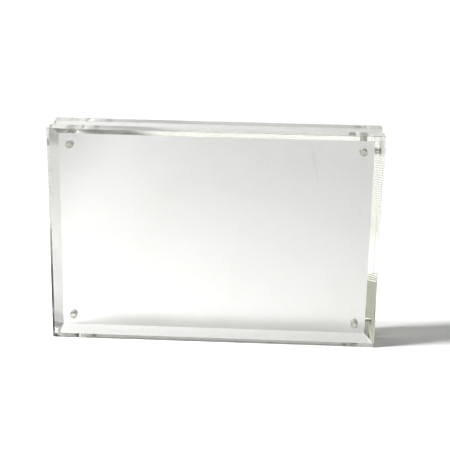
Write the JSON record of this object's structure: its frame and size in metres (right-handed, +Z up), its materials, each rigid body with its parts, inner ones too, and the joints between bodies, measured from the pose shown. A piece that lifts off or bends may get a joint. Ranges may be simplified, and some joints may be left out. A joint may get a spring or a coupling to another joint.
{
  "type": "magnetic block photo frame",
  "caption": "Clear acrylic photo frame: thick bevelled blocks stand on edge, held face to face by small disc magnets at the corners, with a finger groove round the seam.",
  "frame": {"origin": "middle of the base, on the surface the frame stands on, in the plane where the front and back blocks meet", "axes": "+X along the width, towards the viewer's right; +Y from the front block towards the back block; +Z up"},
  "size_m": [0.1524, 0.0242, 0.1016],
  "materials": {
    "clear_acrylic": "clear cast acrylic with polished faces and diamond-cut bevels",
    "nickel_plating": "bright nickel plating on disc magnets",
    "clear_adhesive": "cured clear adhesive film"
  },
  "bodies": {
    "front_half": {"front_block": "clear_acrylic", "front_magnet_top_left": "nickel_plating", "front_magnet_top_right": "nickel_plating", "front_magnet_bottom_left": "nickel_plating", "front_magnet_bottom_right": "nickel_plating", "front_adhesive_top_left": "clear_adhesive", "front_adhesive_top_right": "clear_adhesive", "front_adhesive_bottom_left": "clear_adhesive", "front_adhesive_bottom_right": "clear_adhesive"},
    "back_half": {"back_block": "clear_acrylic", "back_magnet_top_left": "nickel_plating", "back_magnet_top_right": "nickel_plating", "back_magnet_bottom_left": "nickel_plating", "back_magnet_bottom_right": "nickel_plating", "back_adhesive_top_left": "clear_adhesive", "back_adhesive_top_right": "clear_adhesive", "back_adhesive_bottom_left": "clear_adhesive", "back_adhesive_bottom_right": "clear_adhesive"}
  },
  "joints": [
    {"name": "pull_apart", "type": "slide", "parent": "front_half", "child": "back_half", "axis": [0, 1, 0], "range_m": [0, 0.03]}
  ]
}
